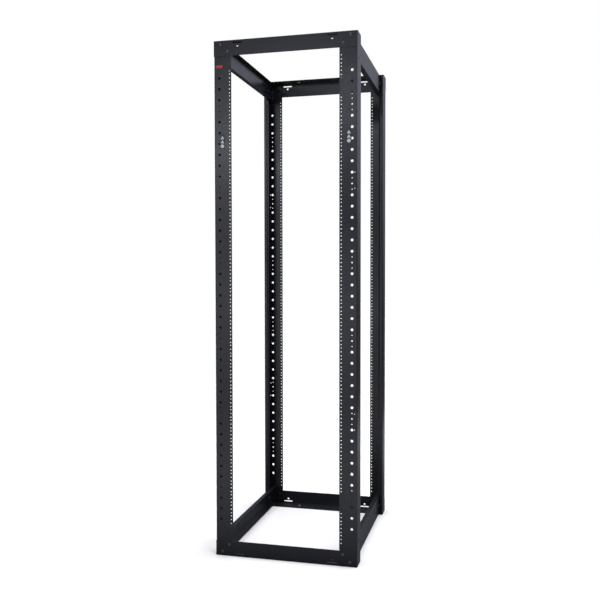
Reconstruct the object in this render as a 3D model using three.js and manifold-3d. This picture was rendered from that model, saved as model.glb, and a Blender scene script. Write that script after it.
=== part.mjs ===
// A 44-unit, four-post open-frame equipment rack, folded from sheet steel and bolted together.
//
// X runs across the rack, Y from its front (-Y) to its rear (+Y), and Z up from the floor.
// The origin is the middle of the footprint on the floor. All sizes are in millimetres.
//
// Four lipped posts stand at the corners, each with its drilled mounting face outwards: the front
// pair faces forwards, the rear pair backwards. A crossbar joins each pair at the top and at the
// bottom, lying over the mounting faces, with its leg closing the ends of the posts. Four channels
// run from front to rear. A folded bracket inside each end of a channel takes the two corner
// screws that pass through crossbar and post, and one screw that holds it to the channel.

import * as THREE from 'three';
import { mergeVertices } from 'three/addons/utils/BufferGeometryUtils.js';
import Module from 'manifold-3d';

// ---------------------------------------------------------------- driving dimensions

// The 19-inch mounting standard
const RACK_UNITS = 44;
const UNIT = 44.45;
const UNIT_HOLES = [6.35, 22.225, 38.1];
const RACK_OPENING = 450;
const HOLE_COLUMN_SPACING = 465.1;
const MOUNTING_HOLE_D = 4.7;

// The frame as a whole
const DEPTH = 780;
const GAP = 0.3;

// Posts: mounting face, side and return lip
const POST_FACE = 73.5;
const POST_DEPTH = 76.4;
const POST_LIP = 22;
const POST_SHEET = 2.5;
const BEND_RADIUS = 1.5;
const LIP_ROLL_RADIUS = 6.5;
const LIP_SHORT_OF_CHANNEL = 1;

// Lacing holes: one in the middle of each unit, in a column near the outer side
const LACING_FROM_SIDE = 22.2;
const LACING_D = 11;
const PILOT_EVERY = 7;
const PILOT_FIRST = 5;
const PILOT_D = 6.5;
const PILOT_SIDE_D = 4.5;
const EDGE_HOLE_FROM_SIDE = 10.9;
const EDGE_HOLE_D = 4.5;
const EDGE_HOLE_UNITS = [10.5, 11.93];

// Round holes in the sides of the posts, by height above or below the middle
const SIDE_HOLE_FROM_FACE = 31;
const SIDE_HOLE_D = 11;
const SIDE_HOLE_HEIGHTS = [27, 611, 962];

// Crossbars: an angle with its tall leg outwards
const CROSSBAR_HEIGHT = 63.5;
const CROSSBAR_LEG = 73;
const CROSSBAR_SHEET = 2.5;
const CROSSBAR_BEND_RADIUS = 0.6;
const SLOT_LENGTH = 44;
const SLOT_WIDTH = 6;
const SLOT_FROM_EDGE = 11.5;
const ROUND_FROM_EDGE = 24;
const ROUND_D = 9;
const SLOT_FROM_POST = 28.3;
const ANCHOR_D = 13;
const ANCHOR_FROM_FACE = 33;
const ANCHOR_FROM_POST = 95.5;

// Side channels
const CHANNEL_HEIGHT = 84.5;
const CHANNEL_LEG = 22;
const CHANNEL_SHEET = 2;
const CHANNEL_INSET = 17.5;
const FIRST_HOLE_ABOVE_CHANNEL = 4.65;

// Corner brackets, in the ends of the channels
const BRACKET_SHEET = 2.5;
const BRACKET_LENGTH = 99.4;
const BRACKET_FROM_OPENING = 2.5;
const BRACKET_SHORT_OF_CHANNEL = 1.5;

// Screws, their nuts and their places
const SCREW_D = 6;
const SCREW_CLEARANCE = 0.6;
const SCREW_HEAD_D = 13;
const SCREW_HEAD_HEIGHT = 3.6;
const SCREW_SIDES = 8;
const NUT_D = 11;
const NUT_HEIGHT = 5;
const CLINCH_NUT_HEIGHT = 3.5;
const THREAD_PAST_NUT = 1;
const OUTER_SCREW_FROM_CHANNEL = 11.5;
const OUTER_SCREW_FROM_EDGE = 17.5;
const INNER_SCREW_FROM_OPENING = 15;
const INNER_SCREW_FROM_EDGE = 47.5;
const CHANNEL_SCREW_FROM_FACE = 84;

// Badge and labels on the front posts
const BADGE_WIDTH = 29;
const BADGE_HEIGHT = 12;
const BADGE_THICKNESS = 1.2;
const BADGE_FROM_SIDE = 22.5;
const BADGE_BELOW_CROSSBAR = 42;
const LABEL_WIDTH = 21;
const LABEL_HEIGHT = 60;
const LABEL_THICKNESS = 0.4;
const LABEL_FROM_OPENING = 38.5;
const LABEL_BELOW_TOP = 410.5;

// ---------------------------------------------------------------- derived places

const WIDTH = RACK_OPENING + 2 * POST_FACE;
const SEAT = CROSSBAR_SHEET + GAP;
const FIELD_START = SEAT + CHANNEL_HEIGHT + FIRST_HOLE_ABOVE_CHANNEL - UNIT_HOLES[0];
const HEIGHT = RACK_UNITS * UNIT + 2 * FIELD_START;
const POST_BOTTOM = SEAT;
const POST_TOP = HEIGHT - SEAT;
const SIDE = WIDTH / 2;
const FRONT = DEPTH / 2;
const POST_FRONT = FRONT - SEAT;
const CHANNEL_END = POST_FRONT - POST_SHEET - GAP;
const CHANNEL_SIDE = SIDE - CHANNEL_INSET;
const BRACKET_SIDE = CHANNEL_SIDE - CHANNEL_SHEET - GAP;
const BRACKET_INNER = RACK_OPENING / 2 + BRACKET_FROM_OPENING;
const CHANNEL_MIDDLE = SEAT + CHANNEL_HEIGHT / 2;
const OUTER_SCREW_X = CHANNEL_SIDE - OUTER_SCREW_FROM_CHANNEL;
const INNER_SCREW_X = RACK_OPENING / 2 + INNER_SCREW_FROM_OPENING;
const CHANNEL_SCREW_Y = FRONT - CHANNEL_SCREW_FROM_FACE;
const SCREW_HOLE_D = SCREW_D + 2 * SCREW_CLEARANCE;
const CUT_PAST = 1;

// The corner screws of one corner, as distance from the middle and from the top or bottom edge
const CORNER_SCREWS = [
  { name: 'outer', x: OUTER_SCREW_X, fromEdge: OUTER_SCREW_FROM_EDGE },
  { name: 'inner', x: INNER_SCREW_X, fromEdge: INNER_SCREW_FROM_EDGE },
];

// ---------------------------------------------------------------- solids

const wasm = await Module();
wasm.setup();

// A closed geometry becomes a solid once its shared corners are merged.
function toSolid(geometry) {
  const bare = geometry.clone();
  bare.deleteAttribute('normal');
  bare.deleteAttribute('uv');
  const merged = mergeVertices(bare, 1e-4);
  return new wasm.Manifold(new wasm.Mesh({
    numProp: 3,
    vertProperties: new Float32Array(merged.attributes.position.array),
    triVerts: new Uint32Array(merged.index.array),
  }));
}

function toGeometry(solid) {
  const mesh = solid.getMesh();
  const geometry = new THREE.BufferGeometry();
  geometry.setAttribute('position', new THREE.BufferAttribute(mesh.vertProperties, 3));
  geometry.setIndex(new THREE.BufferAttribute(mesh.triVerts, 1));
  geometry.computeVertexNormals();
  return geometry;
}

// Cuts every tool from the body at once. The tools don't touch each other.
function cut(body, tools) {
  const joined = tools.reduce((all, tool) => all.add(tool));
  return body.subtract(joined);
}

// Joins a long list in pairs, which is quicker than one by one.
function joinAll(solids) {
  if (solids.length === 1) return solids[0];
  const half = Math.ceil(solids.length / 2);
  return joinAll(solids.slice(0, half)).add(joinAll(solids.slice(half)));
}

// A prism with flat sides has the cross-section area of the round hole or shank it stands for.
function prismRadius(diameter, sides) {
  const area = Math.PI * diameter * diameter / 4;
  return Math.sqrt(2 * area / (sides * Math.sin(2 * Math.PI / sides)));
}

// A round tool or shank with its axis along 'x', 'y' or 'z', between two stations on that axis.
function round(diameter, axis, from, to, place, sides) {
  const geometry = new THREE.CylinderGeometry(
    prismRadius(diameter, sides), prismRadius(diameter, sides), to - from, sides);
  geometry.rotateY(Math.PI / sides);
  if (axis === 'x') geometry.rotateZ(Math.PI / 2);
  if (axis === 'z') geometry.rotateX(Math.PI / 2);
  const middle = (from + to) / 2;
  const at = { x: [middle, place[0], place[1]], y: [place[0], middle, place[1]], z: [...place, middle] };
  geometry.translate(...at[axis]);
  return toSolid(geometry);
}

function box(low, high) {
  const size = high.map((value, i) => value - low[i]);
  const geometry = new THREE.BoxGeometry(...size);
  geometry.translate(...high.map((value, i) => (value + low[i]) / 2));
  return toSolid(geometry);
}

// Sheet metal: a path of the sheet's outer face, given thickness towards its left-hand side, with
// every bend rounded. Radii are those of the outer face, one for each inner point of the path.
function sheetOutline(path, thickness, outerRadii, steps) {
  const outer = [];
  const inner = [];
  const unit = (from, to) => to.clone().sub(from).normalize();
  const left = (direction) => new THREE.Vector2(-direction.y, direction.x);
  path.forEach((point, i) => {
    if (i === 0 || i === path.length - 1) {
      const along = i === 0 ? unit(point, path[1]) : unit(path[i - 1], point);
      outer.push(point.clone());
      inner.push(point.clone().addScaledVector(left(along), thickness));
      return;
    }
    const into = unit(path[i - 1], point);
    const out = unit(point, path[i + 1]);
    const turn = Math.sign(into.x * out.y - into.y * out.x);
    const sweep = Math.acos(THREE.MathUtils.clamp(into.dot(out), -1, 1));
    const radius = outerRadii[i - 1];
    const setback = radius * Math.tan(sweep / 2);
    const start = point.clone().addScaledVector(into, -setback);
    const centre = start.clone().addScaledVector(left(into), turn * radius);
    for (let k = 0; k <= steps; k += 1) {
      const spoke = start.clone().sub(centre);
      spoke.rotateAround(new THREE.Vector2(), turn * sweep * k / steps);
      outer.push(centre.clone().add(spoke));
      inner.push(centre.clone().addScaledVector(spoke, (radius - turn * thickness) / radius));
    }
  });
  return new THREE.Shape([...outer, ...inner.reverse()]);
}

// Extrudes an outline drawn in X and Y upwards from a low to a high station.
function extrudeUp(outline, low, high) {
  const geometry = new THREE.ExtrudeGeometry(outline, { depth: high - low, bevelEnabled: false });
  geometry.translate(0, 0, low);
  return geometry;
}

// ---------------------------------------------------------------- placing and mirroring

const rack = new THREE.Group();

// Every piece is drawn for the right-hand, front, lower corner, with its front at +FRONT along a
// reversed Y. Mirroring in X, Y or Z gives the others, with the triangles turned back outwards.
function mirrored(geometry, signs) {
  const copy = geometry.clone();
  copy.scale(signs.x, signs.y, signs.z);
  if (signs.x * signs.y * signs.z < 0) {
    const index = copy.index.array;
    for (let i = 0; i < index.length; i += 3) {
      [index[i], index[i + 1]] = [index[i + 1], index[i]];
    }
  }
  copy.computeVertexNormals();
  return copy;
}

// Top pieces are the bottom ones turned over about the rack's middle height.
function placeCopy(name, geometry, corner, finish) {
  const signs = { x: corner.x, y: corner.y, z: corner.top ? -1 : 1 };
  const mesh = new THREE.Mesh(mirrored(geometry, signs), finish());
  mesh.name = name;
  mesh.position.z = corner.top ? HEIGHT : 0;
  rack.add(mesh);
}

const steel = (color, roughness, metalness) => () =>
  new THREE.MeshStandardMaterial({ color, roughness, metalness });
const powderCoat = steel(0x232327, 0.5, 0.1);
const blackScrew = steel(0x2b2b2e, 0.35, 0.8);
const redBadge = steel(0xb3121f, 0.35, 0);
const printedLabel = steel(0x1d1d20, 0.55, 0);

const SIDES = [{ name: 'left', x: -1 }, { name: 'right', x: 1 }];
const ENDS = [{ name: 'front', y: -1 }, { name: 'rear', y: 1 }];
const LEVELS = [{ name: 'bottom', top: false }, { name: 'top', top: true }];

// ---------------------------------------------------------------- posts

// Seen from above, for a front right corner turned so that its face points along +Y.
function postBlank() {
  const bend = BEND_RADIUS + POST_SHEET;
  const outline = sheetOutline([
    new THREE.Vector2(RACK_OPENING / 2, POST_FRONT),
    new THREE.Vector2(SIDE, POST_FRONT),
    new THREE.Vector2(SIDE, POST_FRONT - POST_DEPTH),
    new THREE.Vector2(SIDE - POST_LIP, POST_FRONT - POST_DEPTH),
    new THREE.Vector2(SIDE - POST_LIP, POST_FRONT - POST_DEPTH + LIP_ROLL_RADIUS + POST_SHEET),
  ].reverse(), POST_SHEET, [LIP_ROLL_RADIUS + POST_SHEET - 0.01, bend, bend], 3);
  return toSolid(extrudeUp(outline, POST_BOTTOM, POST_TOP));
}

// A cutter through the mounting face only.
function faceHole(diameter, x, z, sides) {
  return round(diameter, 'y', POST_FRONT - POST_SHEET - CUT_PAST, POST_FRONT + CUT_PAST, [x, z], sides);
}

function mountingHoles() {
  const tools = [];
  for (let unit = 0; unit < RACK_UNITS; unit += 1) {
    UNIT_HOLES.forEach((offset) => {
      const z = FIELD_START + unit * UNIT + offset;
      tools.push(faceHole(MOUNTING_HOLE_D, HOLE_COLUMN_SPACING / 2, z, 4));
    });
  }
  return tools;
}

// Units are numbered from 1, upwards. The first and the last unit have no lacing hole.
function lacingHoles() {
  const tools = [];
  const x = SIDE - LACING_FROM_SIDE;
  for (let unit = 2; unit < RACK_UNITS; unit += 1) {
    const z = FIELD_START + (unit - 0.5) * UNIT;
    if ((unit - PILOT_FIRST) % PILOT_EVERY === 0) {
      tools.push(faceHole(PILOT_D, x, z, 4));
      tools.push(faceHole(PILOT_SIDE_D, x, z - UNIT / 2, 4));
      tools.push(faceHole(PILOT_SIDE_D, x, z + UNIT / 2, 4));
    } else {
      tools.push(faceHole(LACING_D, x, z, 4));
    }
  }
  EDGE_HOLE_UNITS.forEach((units) => {
    [FIELD_START + units * UNIT, HEIGHT - FIELD_START - units * UNIT].forEach((z) => {
      tools.push(faceHole(EDGE_HOLE_D, SIDE - EDGE_HOLE_FROM_SIDE, z, 4));
    });
  });
  return tools;
}

function postSideHoles() {
  const y = FRONT - SIDE_HOLE_FROM_FACE;
  return SIDE_HOLE_HEIGHTS.flatMap((height) => [HEIGHT / 2 - height, HEIGHT / 2 + height]
    .map((z) => round(SIDE_HOLE_D, 'x', SIDE - POST_SHEET - CUT_PAST, SIDE + CUT_PAST, [y, z], 6)));
}

function cornerScrewHoles(from, to) {
  return CORNER_SCREWS.map((screw) => round(SCREW_HOLE_D, 'y', from, to, [screw.x, screw.fromEdge], 8));
}

// The channels run through to the mounting face, so the lip is notched round their ends.
function lipNotches() {
  const lip = POST_FRONT - POST_DEPTH;
  const reach = SEAT + CHANNEL_HEIGHT + LIP_SHORT_OF_CHANNEL;
  return [[POST_BOTTOM - CUT_PAST, reach], [HEIGHT - reach, POST_TOP + CUT_PAST]].map(([low, high]) =>
    box([SIDE - POST_LIP - CUT_PAST, lip - CUT_PAST, low],
      [CHANNEL_SIDE + CLINCH_NUT_HEIGHT + GAP, lip + LIP_ROLL_RADIUS + POST_SHEET + CUT_PAST, high]));
}

function post() {
  const low = POST_FRONT - POST_SHEET - CUT_PAST;
  const bottomScrews = cornerScrewHoles(low, POST_FRONT + CUT_PAST);
  const topScrews = CORNER_SCREWS.map((screw) =>
    faceHole(SCREW_HOLE_D, screw.x, HEIGHT - screw.fromEdge, 8));
  const tools = [...mountingHoles(), ...lacingHoles(), ...postSideHoles(), ...lipNotches(),
    ...bottomScrews, ...topScrews];
  return toGeometry(postBlank().subtract(joinAll(tools)));
}

const postGeometry = post();
ENDS.forEach((end) => SIDES.forEach((side) => {
  placeCopy(`${end.name}_${side.name}_post`, postGeometry, { x: side.x, y: end.y }, powderCoat);
}));

// ---------------------------------------------------------------- crossbars

// The angle is drawn in Y and Z as a bottom bar, then laid along X.
function crossbar() {
  const bend = CROSSBAR_BEND_RADIUS + CROSSBAR_SHEET;
  const outline = sheetOutline([
    new THREE.Vector2(FRONT - CROSSBAR_LEG, 0),
    new THREE.Vector2(FRONT, 0),
    new THREE.Vector2(FRONT, CROSSBAR_HEIGHT),
  ], CROSSBAR_SHEET, [bend], 3);
  const geometry = extrudeUp(outline, -SIDE, SIDE);
  geometry.applyMatrix4(new THREE.Matrix4().makeBasis(
    new THREE.Vector3(0, 1, 0), new THREE.Vector3(0, 0, 1), new THREE.Vector3(1, 0, 0)));
  const behind = FRONT - CROSSBAR_SHEET - CUT_PAST;
  const ahead = FRONT + CUT_PAST;
  const slotX = RACK_OPENING / 2 - SLOT_FROM_POST;
  const straight = (SLOT_LENGTH - SLOT_WIDTH) / 2;
  const anchorX = RACK_OPENING / 2 - ANCHOR_FROM_POST;
  const tools = [-1, 1].flatMap((sign) => [
    box([sign * slotX - straight, behind, SLOT_FROM_EDGE - SLOT_WIDTH / 2],
      [sign * slotX + straight, ahead, SLOT_FROM_EDGE + SLOT_WIDTH / 2]),
    ...[-1, 1].map((end) =>
      round(SLOT_WIDTH, 'y', behind, ahead, [sign * slotX + end * straight, SLOT_FROM_EDGE], 8)),
    round(ROUND_D, 'y', behind, ahead, [sign * slotX, ROUND_FROM_EDGE], 8),
    round(ANCHOR_D, 'z', -CUT_PAST, CROSSBAR_SHEET + CUT_PAST,
      [sign * anchorX, FRONT - ANCHOR_FROM_FACE], 8),
    ...CORNER_SCREWS.map((screw) =>
      round(SCREW_HOLE_D, 'y', behind, ahead, [sign * screw.x, screw.fromEdge], 8)),
  ]);
  return toGeometry(cut(toSolid(geometry), tools));
}

const crossbarGeometry = crossbar();
ENDS.forEach((end) => LEVELS.forEach((level) => {
  placeCopy(`${end.name}_${level.name}_crossbar`, crossbarGeometry,
    { x: 1, y: end.y, top: level.top }, powderCoat);
}));

// ---------------------------------------------------------------- side channels

// The channel opens inwards. A clinch nut stands on its outer face near each end.
function sideChannel() {
  const low = SEAT;
  const high = SEAT + CHANNEL_HEIGHT;
  const bend = BEND_RADIUS + CHANNEL_SHEET;
  const outline = sheetOutline([
    new THREE.Vector2(CHANNEL_SIDE - CHANNEL_LEG, low),
    new THREE.Vector2(CHANNEL_SIDE, low),
    new THREE.Vector2(CHANNEL_SIDE, high),
    new THREE.Vector2(CHANNEL_SIDE - CHANNEL_LEG, high),
  ], CHANNEL_SHEET, [bend, bend], 3);
  const geometry = extrudeUp(outline, -CHANNEL_END, CHANNEL_END);
  geometry.applyMatrix4(new THREE.Matrix4().makeBasis(
    new THREE.Vector3(1, 0, 0), new THREE.Vector3(0, 0, 1), new THREE.Vector3(0, -1, 0)));
  const stations = [-CHANNEL_SCREW_Y, CHANNEL_SCREW_Y];
  const nuts = stations.map((y) => round(NUT_D, 'x', CHANNEL_SIDE - CHANNEL_SHEET / 2,
    CHANNEL_SIDE + CLINCH_NUT_HEIGHT, [y, CHANNEL_MIDDLE], 6));
  const holes = stations.map((y) => round(SCREW_HOLE_D, 'x', CHANNEL_SIDE - CHANNEL_SHEET - CUT_PAST,
    CHANNEL_SIDE + CLINCH_NUT_HEIGHT + CUT_PAST, [y, CHANNEL_MIDDLE], 8));
  return toGeometry(cut(toSolid(geometry).add(joinAll(nuts)), holes));
}

const channelGeometry = sideChannel();
SIDES.forEach((side) => LEVELS.forEach((level) => {
  placeCopy(`${side.name}_${level.name}_side_channel`, channelGeometry,
    { x: side.x, y: 1, top: level.top }, powderCoat);
}));

// ---------------------------------------------------------------- corner brackets

// An angle seen from above: one leg on the post's mounting face, the other along the channel.
function cornerBracket() {
  const clear = SEAT + CHANNEL_SHEET + BRACKET_SHORT_OF_CHANNEL;
  const top = SEAT + CHANNEL_HEIGHT - CHANNEL_SHEET - BRACKET_SHORT_OF_CHANNEL;
  const outline = sheetOutline([
    new THREE.Vector2(BRACKET_SIDE, CHANNEL_END - BRACKET_LENGTH),
    new THREE.Vector2(BRACKET_SIDE, CHANNEL_END),
    new THREE.Vector2(BRACKET_INNER, CHANNEL_END),
  ], BRACKET_SHEET, [BEND_RADIUS + BRACKET_SHEET], 3);
  const inside = CHANNEL_END - BRACKET_SHEET;
  const nuts = CORNER_SCREWS.map((screw) => round(NUT_D, 'y', inside - NUT_HEIGHT,
    inside + BRACKET_SHEET / 2, [screw.x, screw.fromEdge], 6));
  const holes = cornerScrewHoles(inside - NUT_HEIGHT - CUT_PAST, CHANNEL_END + CUT_PAST);
  holes.push(round(SCREW_HOLE_D, 'x', BRACKET_SIDE - BRACKET_SHEET - CUT_PAST,
    BRACKET_SIDE + CUT_PAST, [CHANNEL_SCREW_Y, CHANNEL_MIDDLE], 8));
  return toGeometry(cut(toSolid(extrudeUp(outline, clear, top)).add(joinAll(nuts)), holes));
}

const bracketGeometry = cornerBracket();

// ---------------------------------------------------------------- screws

// A button-head screw with its head towards +Y: the underside of the head is at Y zero.
function screw(gripLength) {
  const headR = prismRadius(SCREW_HEAD_D, SCREW_SIDES);
  const shankR = prismRadius(SCREW_D, SCREW_SIDES);
  const profile = [
    [0, -gripLength], [shankR, -gripLength], [shankR, 0], [headR, 0],
    [headR, SCREW_HEAD_HEIGHT * 0.25], [headR * 0.6, SCREW_HEAD_HEIGHT], [0, SCREW_HEAD_HEIGHT],
  ].map(([r, h]) => new THREE.Vector2(r, h));
  return toGeometry(toSolid(new THREE.LatheGeometry(profile, SCREW_SIDES)));
}

const cornerStack = 2 * GAP + CROSSBAR_SHEET + POST_SHEET + BRACKET_SHEET + NUT_HEIGHT;
const cornerScrew = screw(cornerStack + THREAD_PAST_NUT);
const channelStack = GAP + BRACKET_SHEET + CHANNEL_SHEET + CLINCH_NUT_HEIGHT;
const channelScrew = screw(channelStack + THREAD_PAST_NUT / 2).rotateZ(Math.PI / 2);

ENDS.forEach((end) => SIDES.forEach((side) => LEVELS.forEach((level) => {
  const corner = { x: side.x, y: end.y, top: level.top };
  const where = `${end.name}_${side.name}_${level.name}`;
  placeCopy(`${where}_corner_bracket`, bracketGeometry, corner, powderCoat);
  CORNER_SCREWS.forEach((place) => {
    const placed = cornerScrew.clone().translate(place.x, FRONT + GAP, place.fromEdge);
    placeCopy(`${where}_${place.name}_screw`, placed, corner, blackScrew);
  });
  const held = channelScrew.clone().translate(
    BRACKET_SIDE - BRACKET_SHEET - GAP, CHANNEL_SCREW_Y, CHANNEL_MIDDLE);
  placeCopy(`${where}_channel_screw`, held, corner, blackScrew);
})));

// ---------------------------------------------------------------- badge and labels

function plate(name, x, z, size, thickness, finish) {
  const geometry = new THREE.BoxGeometry(size[0], thickness, size[1]);
  const mesh = new THREE.Mesh(geometry, finish());
  mesh.name = name;
  mesh.position.set(x, -(POST_FRONT + GAP + thickness / 2), z);
  rack.add(mesh);
}

plate('front_badge', -(SIDE - BADGE_FROM_SIDE), HEIGHT - CROSSBAR_HEIGHT - BADGE_BELOW_CROSSBAR,
  [BADGE_WIDTH, BADGE_HEIGHT], BADGE_THICKNESS, redBadge);
SIDES.forEach((side) => {
  plate(`front_${side.name}_label`, side.x * (RACK_OPENING / 2 + LABEL_FROM_OPENING),
    HEIGHT - LABEL_BELOW_TOP, [LABEL_WIDTH, LABEL_HEIGHT], LABEL_THICKNESS, printedLabel);
});

export default rack;
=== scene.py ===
# %% [markdown]
# # An open frame rack for 19-inch equipment
#
# The rack has four folded posts, four crossbars, four side channels, eight corner brackets and
# 24 screws. The engineering model already fixes where each of them is, so every piece below takes
# its place from that model and adds what a fast solid leaves out: real bend radii, round drilled
# holes, screws with sockets, and a powder-coated surface.

import math

import bpy
from mathutils import Matrix, Vector


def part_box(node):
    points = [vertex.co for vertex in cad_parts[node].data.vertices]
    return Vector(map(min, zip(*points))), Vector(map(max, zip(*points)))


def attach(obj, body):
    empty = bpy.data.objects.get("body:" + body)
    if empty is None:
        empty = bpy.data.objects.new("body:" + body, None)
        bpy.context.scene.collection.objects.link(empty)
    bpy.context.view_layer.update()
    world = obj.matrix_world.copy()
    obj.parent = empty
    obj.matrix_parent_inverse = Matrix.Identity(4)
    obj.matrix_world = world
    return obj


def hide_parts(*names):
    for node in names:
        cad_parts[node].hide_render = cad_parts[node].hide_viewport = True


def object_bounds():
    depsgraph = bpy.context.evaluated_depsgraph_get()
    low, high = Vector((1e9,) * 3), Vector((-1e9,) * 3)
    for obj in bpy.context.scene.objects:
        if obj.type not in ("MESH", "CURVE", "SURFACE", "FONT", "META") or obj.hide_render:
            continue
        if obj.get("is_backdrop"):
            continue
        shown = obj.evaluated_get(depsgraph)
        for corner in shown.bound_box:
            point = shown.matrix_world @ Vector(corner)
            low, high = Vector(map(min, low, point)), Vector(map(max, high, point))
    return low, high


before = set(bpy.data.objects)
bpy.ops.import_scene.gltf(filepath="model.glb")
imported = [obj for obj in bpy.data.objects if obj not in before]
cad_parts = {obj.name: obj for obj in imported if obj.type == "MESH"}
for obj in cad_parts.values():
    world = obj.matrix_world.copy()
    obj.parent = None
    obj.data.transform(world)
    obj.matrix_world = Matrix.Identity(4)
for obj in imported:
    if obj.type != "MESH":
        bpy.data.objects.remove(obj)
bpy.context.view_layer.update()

# %% [markdown]
# Sizes come in metres. Sheet-metal drawings are in millimetres, so `mm` lets the numbers below
# read like the drawing. The boxes of a few solids then give every other place.

# %% Sizes shared by the whole rack
mm = 0.001
POST_LOW, POST_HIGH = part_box("front_right_post")
BAR_LOW, BAR_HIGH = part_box("front_bottom_crossbar")
CHANNEL_LOW, CHANNEL_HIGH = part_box("right_bottom_side_channel")
RACK_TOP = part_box("front_top_crossbar")[1].z
MIDDLE = RACK_TOP / 2
SHEET = 2.5 * mm
THIN_SHEET = 2.0 * mm
OUTER_BEND = 4 * mm
UNIT = 44.45 * mm
UNITS = 44
FIELD_START = MIDDLE - UNITS * UNIT / 2
print("rack top", RACK_TOP, "first unit starts at", round(FIELD_START, 5))

# %% [markdown]
# Small helpers do what hands do in Blender: clear the selection, make one object active, and
# pick edges or faces by where they are. An operator works on whatever is selected, so nothing is
# left selected by accident. The last one finds the middle of a solid of the engineering model.


# %% Selecting
def only(piece):
    """Selects this piece and nothing else."""
    if bpy.context.mode != "OBJECT":
        bpy.ops.object.mode_set(mode="OBJECT")
    bpy.ops.object.select_all(action="DESELECT")
    piece.select_set(True)
    bpy.context.view_layer.objects.active = piece


def pick(piece, kind, test):
    """Goes into edit mode with just those edges or faces selected whose corners all pass."""
    only(piece)
    bpy.ops.object.mode_set(mode="EDIT")
    bpy.ops.mesh.select_mode(type=kind)
    bpy.ops.mesh.select_all(action="DESELECT")
    bpy.ops.object.mode_set(mode="OBJECT")
    mesh = piece.data
    for part in mesh.edges if kind == "EDGE" else mesh.polygons:
        if all(test(mesh.vertices[i].co) for i in part.vertices):
            part.select = True
    bpy.ops.object.mode_set(mode="EDIT")


def near(value, target, slack=0.02 * mm):
    return abs(value - target) < slack


def box_of(node):
    """The two opposite corners of an engineering solid."""
    low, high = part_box(node)
    return Vector(low), Vector(high)


def middle_of(node):
    low, high = box_of(node)
    return (low + high) / 2


# %% [markdown]
# Folded sheet metal is drawn the way a press makes it. A flat strip is added, its edge is
# extruded round each corner, the corners are bevelled to the bend radius, and Solidify gives the
# strip its thickness towards the inside. Solidify keeps the sheet equally thick round a bend, as
# a press does.


# %% Folding sheet
def flat_strip(name, centre, turn, size):
    """One flat face, turned into place, with its place in its mesh."""
    bpy.ops.object.select_all(action="DESELECT")
    bpy.ops.mesh.primitive_plane_add(size=1, location=centre, rotation=turn)
    strip = bpy.context.object
    strip.name = name
    strip.scale = (size[0], size[1], 1)
    only(strip)
    bpy.ops.object.transform_apply(location=True, rotation=True, scale=True)
    return strip


def fold_out(strip, test, move):
    """Extrudes the picked edges by a vector, as the next leg of the fold."""
    pick(strip, "EDGE", test)
    bpy.ops.mesh.extrude_region_move(TRANSFORM_OT_translate={"value": move})
    bpy.ops.object.mode_set(mode="OBJECT")


def round_fold(strip, test, radius, segments=6):
    """Rounds a folded corner to its outer bend radius."""
    pick(strip, "EDGE", test)
    bpy.ops.mesh.bevel(offset=radius, segments=segments, affect="EDGES", clamp_overlap=False)
    bpy.ops.object.mode_set(mode="OBJECT")


def thicken(strip, thickness, outward):
    """Gives the strip its thickness, away from the side that `outward` points to."""
    only(strip)
    bpy.ops.object.mode_set(mode="EDIT")
    bpy.ops.mesh.select_all(action="SELECT")
    bpy.ops.mesh.remove_doubles(threshold=0.005 * mm)
    bpy.ops.mesh.normals_make_consistent(inside=False)
    bpy.ops.object.mode_set(mode="OBJECT")
    widest = max(strip.data.polygons, key=lambda face: face.area)
    if widest.normal.dot(Vector(outward)) < 0:
        strip.data.flip_normals()
    solid = strip.modifiers.new("thickness", "SOLIDIFY")
    solid.thickness = thickness
    solid.offset = -1
    solid.use_even_offset = True
    bpy.ops.object.modifier_apply(modifier=solid.name)


# %% [markdown]
# Holes are punched with round cutters. The cutter is modelled once and copied to every place,
# the copies are joined, and one Boolean takes them all out of the sheet. Sixteen sides are
# enough for a hole of under five millimetres that appears 528 times; larger holes get more.


# %% Drilling
def round_cutter(place, axis, radius, depth=12 * mm, sides=16):
    """A cylinder along X, Y or Z, centred on its place."""
    turns = {"X": (0, math.pi / 2, 0), "Y": (math.pi / 2, 0, 0), "Z": (0, 0, 0)}
    bpy.ops.object.select_all(action="DESELECT")
    bpy.ops.mesh.primitive_cylinder_add(
        vertices=sides, radius=radius, depth=depth, location=place, rotation=turns[axis])
    cutter = bpy.context.object
    bpy.ops.object.transform_apply(location=True, rotation=True, scale=True)
    return cutter


def stamped(cutter, moves):
    """Copies of one cutter, moved by each vector, as a list with the first one in place."""
    copies = [cutter]
    for move in moves:
        twin = cutter.copy()
        twin.data = cutter.data.copy()
        twin.data.transform(Matrix.Translation(move))
        bpy.context.collection.objects.link(twin)
        copies.append(twin)
    return copies


def joined(pieces):
    bpy.ops.object.select_all(action="DESELECT")
    for piece in pieces:
        piece.select_set(True)
    bpy.context.view_layer.objects.active = pieces[0]
    if len(pieces) > 1:
        bpy.ops.object.join()
    return pieces[0]


def combine(piece, others, operation):
    """Takes the other meshes out of the piece, or adds them to it, and removes them."""
    tool = joined(others)
    only(piece)
    boolean = piece.modifiers.new("combine", "BOOLEAN")
    boolean.operation = operation
    boolean.solver = "EXACT"
    boolean.object = tool
    bpy.ops.object.modifier_apply(modifier=boolean.name)
    bpy.data.objects.remove(tool)


# %% [markdown]
# No edge of a real coated part is knife sharp. The coat flows over it and leaves a radius of
# about a quarter of a millimetre, which is what catches the light along every rim. A Bevel
# limited by angle gives that, then shading is smoothed by angle, and Weighted Normal keeps the
# large flats perfectly flat.


# %% Finishing a mesh
def soften_edges(piece, width=0.25 * mm, segments=1):
    only(piece)
    bevel = piece.modifiers.new("coat radius", "BEVEL")
    bevel.width = width
    bevel.segments = segments
    bevel.limit_method = "ANGLE"
    bevel.angle_limit = math.radians(50)
    bevel.use_clamp_overlap = True
    bpy.ops.object.modifier_apply(modifier=bevel.name)


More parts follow.
